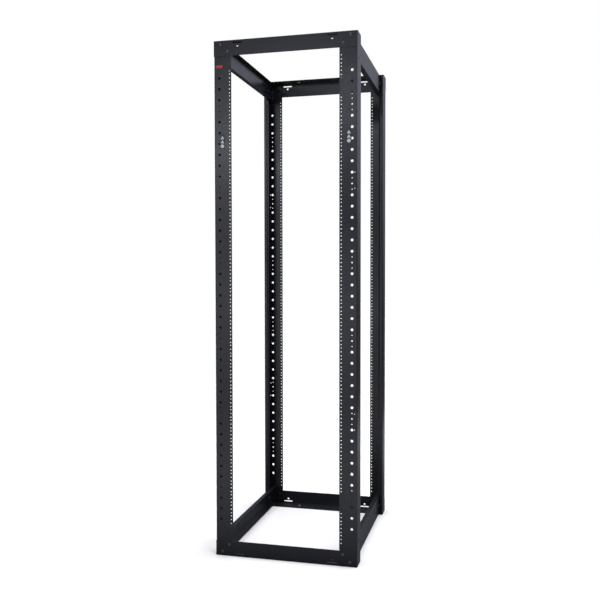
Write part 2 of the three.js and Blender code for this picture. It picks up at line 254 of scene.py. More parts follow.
def finish_mesh(piece, angle=40):
    """Merges doubles, turns faces out, smooths by angle and weights the normals."""
    only(piece)
    bpy.ops.object.mode_set(mode="EDIT")
    bpy.ops.mesh.select_all(action="SELECT")
    bpy.ops.mesh.remove_doubles(threshold=0.002 * mm)
    bpy.ops.mesh.normals_make_consistent(inside=False)
    bpy.ops.object.mode_set(mode="OBJECT")
    bpy.ops.object.shade_smooth_by_angle(angle=math.radians(angle))
    weighted = piece.modifiers.new("flat faces", "WEIGHTED_NORMAL")
    weighted.keep_sharp = True
    bpy.ops.object.modifier_apply(modifier=weighted.name)


def mirrored_copy(piece, name, left=False, rear=False, top=False):
    """A copy for another corner, mirrored about the rack's middle planes."""
    twin = piece.copy()
    twin.data = piece.data.copy()
    twin.name = twin.data.name = name
    bpy.context.collection.objects.link(twin)
    signs = Matrix.Diagonal((-1 if left else 1, -1 if rear else 1, -1 if top else 1, 1))
    shift = Matrix.Translation((0, 0, RACK_TOP if top else 0))
    twin.data.transform(shift @ signs)
    return twin


def stand_in(piece, node, material):
    """The piece shows instead of the CAD node, and wears this material."""
    piece.data.materials.clear()
    piece.data.materials.append(material)
    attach(piece, "root")
    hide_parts(node)


# %% [markdown]
# ## The finishes
#
# Powder coat is paint sprayed as dry powder and baked. Close up it has a fine grain and a slow
# "orange peel" wave, and a satin gloss that changes a little from place to place. Two noise
# textures in Object coordinates give both, because they keep their true scale on every piece and
# don't slide when it is copied. A Bevel node compares the rounded and the true normal, which
# finds the edges: there the coat is thinner and rubbed to a slightly brighter black.


# %% Node helpers
def new_material(name):
    material = bpy.data.materials.new(name)
    material.use_nodes = True
    nodes = material.node_tree.nodes
    nodes.clear()
    output = nodes.new("ShaderNodeOutputMaterial")
    shader = nodes.new("ShaderNodeBsdfPrincipled")
    material.node_tree.links.new(shader.outputs["BSDF"], output.inputs["Surface"])
    return material, material.node_tree, shader


def noise(tree, place, scale, detail=2.0, roughness=0.5):
    texture = tree.nodes.new("ShaderNodeTexNoise")
    texture.inputs["Scale"].default_value = scale
    texture.inputs["Detail"].default_value = detail
    texture.inputs["Roughness"].default_value = roughness
    tree.links.new(place, texture.inputs["Vector"])
    return texture.outputs["Fac"]


def spread(tree, value, low, high, to_low, to_high):
    """Maps a range of values onto another one, clamped at its ends."""
    node = tree.nodes.new("ShaderNodeMapRange")
    tree.links.new(value, node.inputs["Value"])
    limits = {"From Min": low, "From Max": high, "To Min": to_low, "To Max": to_high}
    for name, number in limits.items():
        node.inputs[name].default_value = number
    return node.outputs["Result"]


def blend_colours(tree, factor, first, second):
    node = tree.nodes.new("ShaderNodeMix")
    node.data_type = "RGBA"
    tree.links.new(factor, node.inputs["Factor"])
    for socket, colour in ((node.inputs[6], first), (node.inputs[7], second)):
        if isinstance(colour, tuple):
            socket.default_value = (*colour, 1)
        else:
            tree.links.new(colour, socket)
    return node.outputs[2]


def maths(tree, operation, first, second):
    node = tree.nodes.new("ShaderNodeMath")
    node.operation = operation
    node.use_clamp = operation != "SUBTRACT"
    for socket, value in zip(node.inputs, (first, second)):
        if isinstance(value, (int, float)):
            socket.default_value = value
        else:
            tree.links.new(value, socket)
    return node.outputs[0]


def bumped(tree, height, distance, strength, under=None):
    node = tree.nodes.new("ShaderNodeBump")
    node.inputs["Distance"].default_value = distance
    node.inputs["Strength"].default_value = strength
    tree.links.new(height, node.inputs["Height"])
    if under is not None:
        tree.links.new(under, node.inputs["Normal"])
    return node.outputs["Normal"]


def edge_mask(tree, radius):
    """Near 1 on an edge and 0 on a flat."""
    rounded = tree.nodes.new("ShaderNodeBevel")
    rounded.samples = 6
    rounded.inputs["Radius"].default_value = radius
    true_face = tree.nodes.new("ShaderNodeNewGeometry")
    dot = tree.nodes.new("ShaderNodeVectorMath")
    dot.operation = "DOT_PRODUCT"
    tree.links.new(rounded.outputs["Normal"], dot.inputs[0])
    tree.links.new(true_face.outputs["Normal"], dot.inputs[1])
    return spread(tree, dot.outputs["Value"], 0.995, 0.86, 0.0, 1.0)


# %% Black powder coat
def powder_coat():
    material, tree, shader = new_material("black powder coat")
    place = tree.nodes.new("ShaderNodeTexCoord").outputs["Object"]
    grain = noise(tree, place, 1500, 3.0, 0.6)
    peel = noise(tree, place, 260, 1.0)
    cloud = noise(tree, place, 5.5, 4.0, 0.6)
    specks = spread(tree, noise(tree, place, 900, 0.0), 0.70, 0.78, 0.0, 1.0)
    rub = maths(tree, "MULTIPLY", edge_mask(tree, 0.7 * mm), noise(tree, place, 60, 4.0, 0.7))
    body = blend_colours(tree, cloud, (0.0065, 0.0067, 0.0084), (0.0105, 0.0108, 0.0130))
    dusty = blend_colours(tree, maths(tree, "MULTIPLY", specks, 0.35), body, (0.05, 0.05, 0.052))
    worn = blend_colours(tree, maths(tree, "MULTIPLY", rub, 0.9), dusty, (0.055, 0.056, 0.06))
    tree.links.new(worn, shader.inputs["Base Color"])
    satin = spread(tree, cloud, 0.3, 0.7, 0.26, 0.33)
    gloss = maths(tree, "SUBTRACT", satin, maths(tree, "MULTIPLY", rub, 0.10))
    tree.links.new(gloss, shader.inputs["Roughness"])
    wave = bumped(tree, peel, 0.06 * mm, 0.3)
    tree.links.new(bumped(tree, grain, 0.04 * mm, 0.45, wave), shader.inputs["Normal"])
    shader.inputs["Specular IOR Level"].default_value = 0.34
    return material


POWDER = powder_coat()
print("powder coat nodes:", len(POWDER.node_tree.nodes))

# %% [markdown]
# The screws are steel with a black oxide finish: thinner and glossier than paint, with a metallic
# sheen that shows where a wrench has rubbed the socket. The nuts are the same coat as the frame.


# %% Black oxide
def black_oxide():
    material, tree, shader = new_material("black oxide steel")
    place = tree.nodes.new("ShaderNodeTexCoord").outputs["Object"]
    mottled = noise(tree, place, 420, 4.0, 0.65)
    rub = maths(tree, "MULTIPLY", edge_mask(tree, 0.4 * mm), noise(tree, place, 200, 3.0))
    body = blend_colours(tree, mottled, (0.055, 0.055, 0.058), (0.10, 0.10, 0.105))
    tree.links.new(blend_colours(tree, rub, body, (0.16, 0.16, 0.165)), shader.inputs["Base Color"])
    tree.links.new(spread(tree, mottled, 0.3, 0.7, 0.26, 0.40), shader.inputs["Roughness"])
    tree.links.new(bumped(tree, mottled, 0.03 * mm, 0.4), shader.inputs["Normal"])
    shader.inputs["Metallic"].default_value = 0.75
    return material


OXIDE = black_oxide()


# %% [markdown]
# The label is a printed film: a black ground with a faint emboss, and white ink shapes on top.
# The ink is a little rougher than the film and isn't perfectly opaque. The small red plate is
# glossy moulded plastic.


# %% Label film, white ink and red plastic
def printed(name, dark, light, rough, grain_scale):
    material, tree, shader = new_material(name)
    place = tree.nodes.new("ShaderNodeTexCoord").outputs["Object"]
    soft = noise(tree, place, grain_scale, 3.0, 0.6)
    tree.links.new(blend_colours(tree, soft, dark, light), shader.inputs["Base Color"])
    tree.links.new(spread(tree, soft, 0.3, 0.7, rough, rough + 0.12), shader.inputs["Roughness"])
    tree.links.new(bumped(tree, soft, 0.03 * mm, 0.3), shader.inputs["Normal"])
    return material


FILM = printed("black label film", (0.010, 0.010, 0.012), (0.018, 0.018, 0.021), 0.38, 700)
INK = printed("white ink", (0.46, 0.46, 0.46), (0.60, 0.60, 0.60), 0.50, 900)
RED = printed("red plastic", (0.34, 0.006, 0.016), (0.44, 0.010, 0.022), 0.25, 500)


# %% [markdown]
# ## The posts
#
# A post starts as its mounting face, a strip 73.5 mm wide and over two metres tall. Its outer
# edge is extruded back to make the side, again for the return lip, and once more for the rolled
# edge of the lip, which keeps fingers and cables safe.

# %% Fold the front right post
FACE_Y = POST_LOW.y
post_height = POST_HIGH.z - POST_LOW.z
post = flat_strip(
    "front_right_post_folded",
    ((POST_LOW.x + POST_HIGH.x) / 2, FACE_Y, (POST_LOW.z + POST_HIGH.z) / 2),
    (math.pi / 2, 0, 0),
    (POST_HIGH.x - POST_LOW.x, post_height),
)
post_depth = POST_HIGH.y - POST_LOW.y
LIP = 22 * mm
LIP_RETURN = 11 * mm
LIP_ROLL = 9 * mm
fold_out(post, lambda p: near(p.x, POST_HIGH.x), (0, post_depth, 0))
fold_out(post, lambda p: near(p.y, POST_HIGH.y), (-LIP, 0, 0))
fold_out(
    post,
    lambda p: near(p.x, POST_HIGH.x - LIP) and near(p.y, POST_HIGH.y),
    (0, -LIP_RETURN, 0),
)
print("folded strip:", len(post.data.polygons), "faces")

# %% Round its folds and give it thickness
round_fold(post, lambda p: near(p.x, POST_HIGH.x) and near(p.y, FACE_Y), OUTER_BEND)
round_fold(post, lambda p: near(p.x, POST_HIGH.x) and near(p.y, POST_HIGH.y), OUTER_BEND)
round_fold(
    post,
    lambda p: near(p.x, POST_HIGH.x - LIP) and near(p.y, POST_HIGH.y),
    LIP_ROLL,
    segments=10,
)
thicken(post, SHEET, (0, -1, 0))
print("post box:", [round(v, 4) for v in post.dimensions])

# %% [markdown]
# The holes follow the 19-inch standard: three holes in each unit of 44.45 mm, the same distance
# from the middle on both sides. A second column of larger holes, one in each unit, takes cable
# lacing. Every seventh unit has a smaller hole there, with a pilot hole above and below.


# %% Cutters for the mounting holes
COLUMN_SPACING = 465.1 * mm
FIRST_HOLE = 6.35 * mm
MOUNTING_HOLE_RADIUS = 2.35 * mm


def across(x, z):
    """A place on the mounting face."""
    return Vector((x, FACE_Y, z))


lowest_hole = across(COLUMN_SPACING / 2, FIELD_START + FIRST_HOLE)
first = round_cutter(lowest_hole, "Y", MOUNTING_HOLE_RADIUS)
steps = [
    Vector((0, 0, unit * UNIT + offset * mm))
    for unit in range(UNITS)
    for offset in (0, 15.875, 31.75)
    if unit or offset
]
cutters = stamped(first, steps)
print("mounting holes:", len(cutters))

# %% Cutters for the lacing and pilot holes
LACING_RADIUS = 5.5 * mm
PILOT_RADIUS = 3.25 * mm
SMALL_RADIUS = 2.25 * mm
lacing_x = POST_HIGH.x - 22.2 * mm
edge_x = POST_HIGH.x - 10.9 * mm
pilot_units = [u for u in range(2, UNITS) if u % 7 == 5]
lacing_units = [u for u in range(2, UNITS) if u % 7 != 5]


def unit_middle(unit):
    return FIELD_START + (unit - 0.5) * UNIT


def row_of_holes(x, heights, radius, sides):
    start = round_cutter(across(x, heights[0]), "Y", radius, sides=sides)
    return stamped(start, [Vector((0, 0, z - heights[0])) for z in heights[1:]])


cutters += row_of_holes(lacing_x, [unit_middle(u) for u in lacing_units], LACING_RADIUS, 24)
cutters += row_of_holes(lacing_x, [unit_middle(u) for u in pilot_units], PILOT_RADIUS, 20)
halfway = [unit_middle(u) + side * UNIT / 2 for u in pilot_units for side in (-1, 1)]
cutters += row_of_holes(lacing_x, halfway, SMALL_RADIUS, 16)
edge_heights = []
for units_up in (10.5, 11.93):
    rise = FIELD_START + units_up * UNIT
    edge_heights += [rise, RACK_TOP - rise]
cutters += row_of_holes(edge_x, edge_heights, SMALL_RADIUS, 16)
print("all cutters on the face:", len(cutters))

# %% Cutters for the side holes and the corner screws
CORNER_SCREWS = [middle_of(f"front_right_bottom_{end}_screw") for end in ("outer", "inner")]
SCREW_HOLE_RADIUS = 3.4 * mm
SIDE_HOLE_RADIUS = 5.5 * mm
side_hole_y = BAR_LOW.y + 31 * mm
for height in (27 * mm, 611 * mm, 962 * mm):
    for z in (MIDDLE - height, MIDDLE + height):
        cutters.append(round_cutter((POST_HIGH.x, side_hole_y, z), "X", SIDE_HOLE_RADIUS, sides=24))
for centre in CORNER_SCREWS:
    for z in (centre.z, RACK_TOP - centre.z):
        cutters.append(round_cutter(across(centre.x, z), "Y", SCREW_HOLE_RADIUS, sides=20))
print("with side and screw holes:", len(cutters))

# %% [markdown]
# The side channels run through to the mounting face, and the return lip would cut into them. So a
# box takes the lip away at the top and the bottom, a little past the channel's height.

# %% Notch the lip round the channels, then drill everything
NOTCH_WIDTH = 40 * mm
NOTCH_DEPTH = 24 * mm
notch_side = CHANNEL_HIGH.x + 0.3 * mm
notch_reach = CHANNEL_HIGH.z + 1 * mm - POST_LOW.z
for z in (POST_LOW.z, POST_HIGH.z):
    bpy.ops.mesh.primitive_cube_add(
        size=1, location=(notch_side - NOTCH_WIDTH / 2, POST_HIGH.y, z))
    notch = bpy.context.object
    notch.scale = (NOTCH_WIDTH, NOTCH_DEPTH, 2 * notch_reach)
    bpy.ops.object.transform_apply(location=True, rotation=True, scale=True)
    cutters.append(notch)
combine(post, cutters, "DIFFERENCE")
soften_edges(post)
print("drilled post:", len(post.data.polygons), "faces")

# %% [markdown]
# One post is enough: the other three are the same folding mirrored left to right, or front to
# rear. Each copy has a mesh of its own, and its faces are turned outwards again, because a
# mirrored shape is inside out.

# %% Four posts
posts = {"front_right_post": post}
posts["front_left_post"] = mirrored_copy(post, "front_left_post_folded", left=True)
posts["rear_right_post"] = mirrored_copy(post, "rear_right_post_folded", rear=True)
posts["rear_left_post"] = mirrored_copy(post, "rear_left_post_folded", left=True, rear=True)
for node, piece in posts.items():
    finish_mesh(piece)
    stand_in(piece, node, POWDER)
print("triangles in a post:", sum(len(f.vertices) - 2 for f in post.data.polygons))

# %% [markdown]
# ## The crossbars
#
# A crossbar is an angle across the full width of the rack. Its tall leg closes the corner over
# the posts, and its other leg lies flat, under the bottom or on top. The slots near its ends take
# a strap or the hook of a side panel.

# %% Fold the front bottom crossbar
bar_width = BAR_HIGH.x - BAR_LOW.x
crossbar = flat_strip(
    "front_bottom_crossbar_folded",
    (0, BAR_LOW.y, (BAR_LOW.z + BAR_HIGH.z) / 2),
    (math.pi / 2, 0, 0),
    (bar_width, BAR_HIGH.z - BAR_LOW.z),
)
fold_out(crossbar, lambda p: near(p.z, BAR_LOW.z), (0, BAR_HIGH.y - BAR_LOW.y, 0))
CROSSBAR_BEND = 3.1 * mm
round_fold(crossbar, lambda p: near(p.z, BAR_LOW.z) and near(p.y, BAR_LOW.y), CROSSBAR_BEND)
thicken(crossbar, SHEET, (0, -1, 0))
print("crossbar:", [round(v, 4) for v in crossbar.dimensions])

# %% [markdown]
# A slot is a round hole stretched sideways. Its cutter is made in the same way: a cylinder whose
# left and right halves are picked in edit mode and moved apart.


# %% Punch slots and holes
def slot_cutter(x, z, length, width):
    cutter = round_cutter((x, BAR_LOW.y, z), "Y", width / 2, sides=24)
    stretch = (length - width) / 2
    for way in (-1, 1):
        pick(cutter, "EDGE", lambda p: way * (p.x - x) > 0.01 * mm)
        bpy.ops.transform.translate(value=(way * stretch, 0, 0))
        bpy.ops.object.mode_set(mode="OBJECT")
    return cutter


SLOT_X = POST_LOW.x - 28.3 * mm
ANCHOR_X = POST_LOW.x - 95.5 * mm
ANCHOR_Y = BAR_LOW.y + 33 * mm
SLOT_HEIGHT = 11.5 * mm
ROUND_HEIGHT = 24 * mm
cutters = []
for side in (-1, 1):
    cutters.append(slot_cutter(side * SLOT_X, SLOT_HEIGHT, 44 * mm, 6 * mm))
    below_slot = (side * SLOT_X, BAR_LOW.y, ROUND_HEIGHT)
    cutters.append(round_cutter(below_slot, "Y", 4.5 * mm, sides=28))
    cutters.append(round_cutter((side * ANCHOR_X, ANCHOR_Y, 0), "Z", 6.5 * mm, sides=32))
    for centre in CORNER_SCREWS:
        screw_hole = (side * centre.x, BAR_LOW.y, centre.z)
        cutters.append(round_cutter(screw_hole, "Y", SCREW_HOLE_RADIUS, sides=20))
combine(crossbar, cutters, "DIFFERENCE")
soften_edges(crossbar, segments=2)
crossbars = {
    "front_bottom_crossbar": crossbar,
    "front_top_crossbar": mirrored_copy(crossbar, "front_top_crossbar_folded", top=True),
    "rear_bottom_crossbar": mirrored_copy(crossbar, "rear_bottom_crossbar_folded", rear=True),
    "rear_top_crossbar": mirrored_copy(crossbar, "rear_top_crossbar_folded", rear=True, top=True),
}
for node, piece in crossbars.items():
    finish_mesh(piece)
    stand_in(piece, node, POWDER)
print("crossbar faces:", len(crossbar.data.polygons))

# %% [markdown]
# ## The side channels
#
# Four channels run from front to rear and open inwards, so the rack looks closed from outside.
# A clinch nut stands on the outside near each end. It is pressed into the sheet, so it is made as
# a turned collar and joined to the channel before the thread is drilled through both.

# %% Fold a side channel
channel_length = CHANNEL_HIGH.y - CHANNEL_LOW.y
NUT_HEIGHT = 3.5 * mm
CHANNEL_BEND = 3.5 * mm
WEB_X = CHANNEL_HIGH.x - NUT_HEIGHT
channel = flat_strip(
    "right_bottom_side_channel_folded",
    (WEB_X, 0, (CHANNEL_LOW.z + CHANNEL_HIGH.z) / 2),
    (0, math.pi / 2, 0),
    (CHANNEL_HIGH.z - CHANNEL_LOW.z, channel_length),
)
leg = CHANNEL_LOW.x - WEB_X
for level in (CHANNEL_LOW.z, CHANNEL_HIGH.z):
    fold_out(channel, lambda p: near(p.z, level) and near(p.x, WEB_X), (leg, 0, 0))
for level in (CHANNEL_LOW.z, CHANNEL_HIGH.z):
    round_fold(channel, lambda p: near(p.z, level) and near(p.x, WEB_X), CHANNEL_BEND)
thicken(channel, THIN_SHEET, (1, 0, 0))
print("channel:", [round(v, 4) for v in channel.dimensions])


# %% [markdown]
# Nuts and collars share one shape: a short prism whose outer rim is chamfered. Picking only the
# rim's edges keeps the seat flat.


# %% Nuts and collars
def chamfered_prism(name, place, axis, outward, radius, height, sides, chamfer):
    """A short prism with its far rim chamfered. `outward` is 1 or -1 along the axis."""
    prism = round_cutter(place, axis, radius, depth=height, sides=sides)
    prism.name = name
    index = "XYZ".index(axis)
    rim = place[index] + outward * height / 2
    pick(prism, "EDGE", lambda p: near(p[index], rim))
    bpy.ops.mesh.bevel(offset=chamfer, segments=2, affect="EDGES")
    bpy.ops.object.mode_set(mode="OBJECT")
    return prism


CHANNEL_SCREW = middle_of("front_right_bottom_channel_screw")
THREAD_BORE_RADIUS = 3.3 * mm
SUNK = 1 * mm
collars = []
bores = []
for y in (CHANNEL_SCREW.y, -CHANNEL_SCREW.y):
    seat = (WEB_X + (NUT_HEIGHT - SUNK) / 2, y, CHANNEL_SCREW.z)
    collars.append(
        chamfered_prism("collar", seat, "X", 1, 5.6 * mm, NUT_HEIGHT + SUNK, 32, 0.7 * mm))
    through = (WEB_X, y, CHANNEL_SCREW.z)
    bores.append(round_cutter(through, "X", THREAD_BORE_RADIUS, depth=20 * mm, sides=24))
combine(channel, collars, "UNION")
combine(channel, bores, "DIFFERENCE")
soften_edges(channel, segments=2)
channels = {"right_bottom_side_channel": channel}
for side, level in (("right", "top"), ("left", "bottom"), ("left", "top")):
    node = f"{side}_{level}_side_channel"
    channels[node] = mirrored_copy(
        channel, f"{node}_folded", left=side == "left", top=level == "top")
for node, piece in channels.items():
    finish_mesh(piece)
    stand_in(piece, node, POWDER)
print("channel faces:", len(channel.data.polygons))

# %% [markdown]
# ## The corner brackets
#
# Each bracket sits inside the end of a channel and turns the corner onto the post. Two hexagon
# weld nuts on its short leg take the screws that come in through crossbar and post. The free
# corners of the plate are rounded, because it is cut from strip.

# %% Fold a bracket
bracket_low, bracket_high = box_of("front_right_bottom_corner_bracket")
bracket = flat_strip(
    "front_right_bottom_corner_bracket_folded",
    (bracket_high.x, (bracket_low.y + bracket_high.y) / 2, (bracket_low.z + bracket_high.z) / 2),
    (0, math.pi / 2, 0),
    (bracket_high.z - bracket_low.z, bracket_high.y - bracket_low.y),
)
fold_out(bracket, lambda p: near(p.y, bracket_low.y), (bracket_low.x - bracket_high.x, 0, 0))
round_fold(
    bracket, lambda p: near(p.y, bracket_low.y) and near(p.x, bracket_high.x), OUTER_BEND)
thicken(bracket, SHEET, (1, 0, 0))
for level in (bracket_low.z, bracket_high.z):
    pick(bracket, "EDGE", lambda p: near(p.z, level) and (
        near(p.y, bracket_high.y) or near(p.x, bracket_low.x)))
    bpy.ops.mesh.bevel(offset=6 * mm, segments=5, affect="EDGES")
    bpy.ops.object.mode_set(mode="OBJECT")
print("bracket:", [round(v, 4) for v in bracket.dimensions])

# %% Weld its nuts and drill it
WELD_NUT = 5 * mm
inner_face = bracket_low.y + SHEET
nuts = []
bores = []
for centre in CORNER_SCREWS:
    seat = (centre.x, inner_face + (WELD_NUT - SUNK) / 2, centre.z)
    nuts.append(
        chamfered_prism("weld nut", seat, "Y", 1, 5.9 * mm, WELD_NUT + SUNK, 6, 0.8 * mm))
    through = (centre.x, inner_face, centre.z)
    bores.append(round_cutter(through, "Y", THREAD_BORE_RADIUS, depth=24 * mm, sides=24))
through = (bracket_high.x, CHANNEL_SCREW.y, CHANNEL_SCREW.z)
bores.append(round_cutter(through, "X", THREAD_BORE_RADIUS, sides=24))
combine(bracket, nuts, "UNION")
combine(bracket, bores, "DIFFERENCE")
soften_edges(bracket, segments=2)
CORNERS = [
    (end, side, level)
    for end in ("front", "rear") for side in ("right", "left") for level in ("bottom", "top")
]


def at_corner(piece, corner, suffix):
    """The piece itself for the first corner, and a mirrored copy for each of the others."""
    end, side, level = corner
    name = f"{end}_{side}_{level}_{suffix}"
    if corner == CORNERS[0]:
        piece.name = piece.data.name = name
        return piece
    return mirrored_copy(piece, name, left=side == "left", rear=end == "rear", top=level == "top")


copies = [(corner, at_corner(bracket, corner, "corner_bracket_folded")) for corner in CORNERS]
for (end, side, level), piece in copies:
    finish_mesh(piece)
    stand_in(piece, f"{end}_{side}_{level}_corner_bracket", POWDER)
print("brackets:", len(copies), "faces each:", len(bracket.data.polygons))

# %% [markdown]
# ## The screws
#
# They are button-head socket screws. The head is a short cylinder whose top edge is bevelled so
# far that it becomes a dome, and the hexagon socket is cut with a six-sided cutter. The shank is
# extruded from the underside, a little narrower than the hole, and its tip is chamfered.


# %% Turn a screw
HEAD_HEIGHT = 3.6 * mm
HEAD_RADIUS = 6.5 * mm
SHANK_RADIUS = 3 * mm
DOME = 2.6 * mm
TIP_CHAMFER = 0.8 * mm
SOCKET_RADIUS = 2.3 * mm


def button_screw(name, low, high):
    """A screw along Y whose head is at the low end of its box."""
    centre = (low + high) / 2
    bpy.ops.object.select_all(action="DESELECT")
    bpy.ops.mesh.primitive_cylinder_add(
        vertices=32, radius=HEAD_RADIUS, depth=HEAD_HEIGHT, rotation=(math.pi / 2, 0, 0),
        location=(centre.x, low.y + HEAD_HEIGHT / 2, centre.z))
    screw = bpy.context.object
    screw.name = name
    bpy.ops.object.transform_apply(location=True, rotation=True, scale=True)
    pick(screw, "FACE", lambda p: near(p.y, low.y + HEAD_HEIGHT))
    bpy.ops.mesh.inset(thickness=HEAD_RADIUS - SHANK_RADIUS, depth=0)
    bpy.ops.mesh.extrude_region_move(
        TRANSFORM_OT_translate={"value": (0, high.y - low.y - HEAD_HEIGHT, 0)})
    bpy.ops.object.mode_set(mode="OBJECT")
    pick(screw, "EDGE", lambda p: near(p.y, high.y))
    bpy.ops.mesh.bevel(offset=TIP_CHAMFER, segments=1, affect="EDGES")
    bpy.ops.object.mode_set(mode="OBJECT")
    pick(screw, "EDGE", lambda p: near(p.y, low.y))
    bpy.ops.mesh.bevel(offset=DOME, segments=6, affect="EDGES", clamp_overlap=False)
    bpy.ops.object.mode_set(mode="OBJECT")
    mouth = (centre.x, low.y, centre.z)
    socket = round_cutter(mouth, "Y", SOCKET_RADIUS, depth=4.4 * mm, sides=6)
    combine(screw, [socket], "DIFFERENCE")
    soften_edges(screw, width=0.15 * mm)
    return screw


for end in ("outer", "inner"):
    low, high = box_of(f"front_right_bottom_{end}_screw")
    screw = button_screw(f"{end} screw", low, high)
    copies = [(corner, at_corner(screw, corner, f"{end}_screw_turned")) for corner in CORNERS]
    for (at, side, level), piece in copies:
        finish_mesh(piece)
        stand_in(piece, f"{at}_{side}_{level}_{end}_screw", OXIDE)
print("faces in a screw:", len(screw.data.polygons))

# %% [markdown]
# The channel screws lie on their side, with the head towards the inside of the rack. The same
# screw is made at the origin, turned a quarter round Z and moved to its hole.

# %% Channel screws
low, high = box_of("front_right_bottom_channel_screw")
screw = button_screw("channel screw", Vector((0, 0, 0)), Vector((0, high.x - low.x, 0)))
into_hole = Matrix.Translation((low.x, CHANNEL_SCREW.y, CHANNEL_SCREW.z))
screw.data.transform(into_hole @ Matrix.Rotation(-math.pi / 2, 4, "Z"))
copies = [(corner, at_corner(screw, corner, "channel_screw_turned")) for corner in CORNERS]
for (at, side, level), piece in copies:
    finish_mesh(piece)
    stand_in(piece, f"{at}_{side}_{level}_channel_screw", OXIDE)
print("channel screw box:", [round(v, 4) for v in screw.dimensions])

# %% [markdown]
# ## Labels and badge
#
# Each front post carries a narrow film label with plain white shapes, two triangles above a disc,
# and the left one has a small red plate near the top. They carry no lettering. A label is a flat
# strip with rounded corners, thickened; a shape on it is a circle primitive with three or many
# sides, extruded by the thickness of the ink.


# %% A thin plate with rounded corners
def rounded_plate(name, low, high, corner, rim):
    """A plate standing in X and Z whose front face is at the low Y of its box."""
    centre = (low + high) / 2
    size = (high.x - low.x, high.z - low.z)
    plate = flat_strip(name, (centre.x, low.y, centre.z), (math.pi / 2, 0, 0), size)
    only(plate)
    bpy.ops.object.mode_set(mode="EDIT")
    bpy.ops.mesh.select_all(action="SELECT")
    bpy.ops.mesh.bevel(offset=corner, segments=6, affect="VERTICES")
    bpy.ops.object.mode_set(mode="OBJECT")
    thicken(plate, high.y - low.y, (0, -1, 0))
    pick(plate, "FACE", lambda p: near(p.y, low.y, 0.01 * mm))
    bpy.ops.mesh.bevel(offset=rim, segments=3, affect="EDGES")
    bpy.ops.object.mode_set(mode="OBJECT")
    return plate


def ink_shape(name, place, radius, sides, corner, lift=0.12 * mm):
    """A flat ink shape on the label, at a place on the label's face."""
    bpy.ops.object.select_all(action="DESELECT")
    bpy.ops.mesh.primitive_circle_add(
        vertices=sides, radius=radius, fill_type="NGON", location=place,
        rotation=(math.pi / 2, 0, 0))
    shape = bpy.context.object
    shape.name = name
    bpy.ops.object.transform_apply(location=True, rotation=True, scale=True)
    if corner:
        only(shape)
        bpy.ops.object.mode_set(mode="EDIT")
        bpy.ops.mesh.select_all(action="SELECT")
        bpy.ops.mesh.bevel(offset=corner, segments=4, affect="VERTICES")
        bpy.ops.object.mode_set(mode="OBJECT")
    pick(shape, "FACE", lambda p: True)
    bpy.ops.mesh.extrude_region_move(TRANSFORM_OT_translate={"value": (0, -lift, 0)})
    bpy.ops.object.mode_set(mode="OBJECT")
    finish_mesh(shape)
    return shape


# %% The two labels
INK_SHAPES = [
    {"drop": 15.5 * mm, "radius": 9.2 * mm, "sides": 3, "corner": 1.2 * mm},
    {"drop": 32.0 * mm, "radius": 9.2 * mm, "sides": 3, "corner": 1.2 * mm},
    {"drop": 48.0 * mm, "radius": 7.4 * mm, "sides": 40, "corner": 0},
]
for side in ("left", "right"):
    node = f"front_{side}_label"
    low, high = box_of(node)
    label = rounded_plate(f"{node}_film", low, high, 2 * mm, 0.15 * mm)
    finish_mesh(label)
    stand_in(label, node, FILM)
    for number, ink in enumerate(INK_SHAPES):
        place = ((low.x + high.x) / 2, low.y, high.z - ink["drop"])
        shape = ink_shape(
            f"{node}_shape_{number}", place, ink["radius"], ink["sides"], ink["corner"])
        shape.data.materials.append(INK)
        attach(shape, "root")
print("label top:", round(high.z, 4))

# %% The red plate
low, high = box_of("front_badge")
badge = rounded_plate("front_badge_plate", low, high, 2.5 * mm, 0.6 * mm)
finish_mesh(badge)
stand_in(badge, "front_badge", RED)
print("badge:", [round(v, 4) for v in badge.dimensions])

# %% [markdown]
# ## The studio
#
# The rack stands on a pale floor in a white studio. Black coating shows only what it reflects, so
# the room decides how it looks: the front of the studio is dim, its rear is bright, and a soft
# window of light on the right draws the long highlights down the folds. A very soft overhead sun
# keeps the whole floor white and lets the rack cast a pale shadow. The floor is white paper to
# the eye. What the black coat sees of it is painted light in the floor's colour: a painted patch of
# light in front, painted shade beside and behind, and painted darkness further out, as in a studio
# where only the set is lit.


# %% The room that the rack reflects
def white_room():
    """White to the eye. As light it is dim in front, brighter behind and overhead."""
    world = bpy.data.worlds.new("white room")
    world.use_nodes = True
    tree = world.node_tree
    seen = tree.nodes["Background"]
    seen.inputs["Color"].default_value = (1, 1, 1, 1)
    seen.inputs["Strength"].default_value = 1.0
    glow = tree.nodes.new("ShaderNodeBackground")
    direction = tree.nodes.new("ShaderNodeTexCoord").outputs["Generated"]
    split = tree.nodes.new("ShaderNodeSeparateXYZ")
    tree.links.new(direction, split.inputs[0])
    behind = spread(tree, split.outputs["Y"], -0.1, 0.4, 0.0, 1.0)
    rise = spread(tree, split.outputs["Z"], -0.05, 0.22, 0.03, 0.80)
    to_right = spread(tree, split.outputs["X"], 0.12, 0.36, 0.15, 1.25)
    rear = maths(tree, "MULTIPLY", maths(tree, "MULTIPLY", behind, rise), to_right)
    above = spread(tree, split.outputs["Z"], 0.35, 0.8, 0.05, 0.40)
    tree.links.new(maths(tree, "ADD", rear, above), glow.inputs["Strength"])
    glow.inputs["Color"].default_value = (0.80, 0.84, 1.0, 1)
    either = tree.nodes.new("ShaderNodeMixShader")
    tree.links.new(tree.nodes.new("ShaderNodeLightPath").outputs["Is Camera Ray"], either.inputs[0])
    tree.links.new(glow.outputs[0], either.inputs[1])
    tree.links.new(seen.outputs[0], either.inputs[2])
    tree.links.new(either.outputs[0], tree.nodes["World Output"].inputs["Surface"])
    return world


scene = bpy.context.scene
scene.world = white_room()


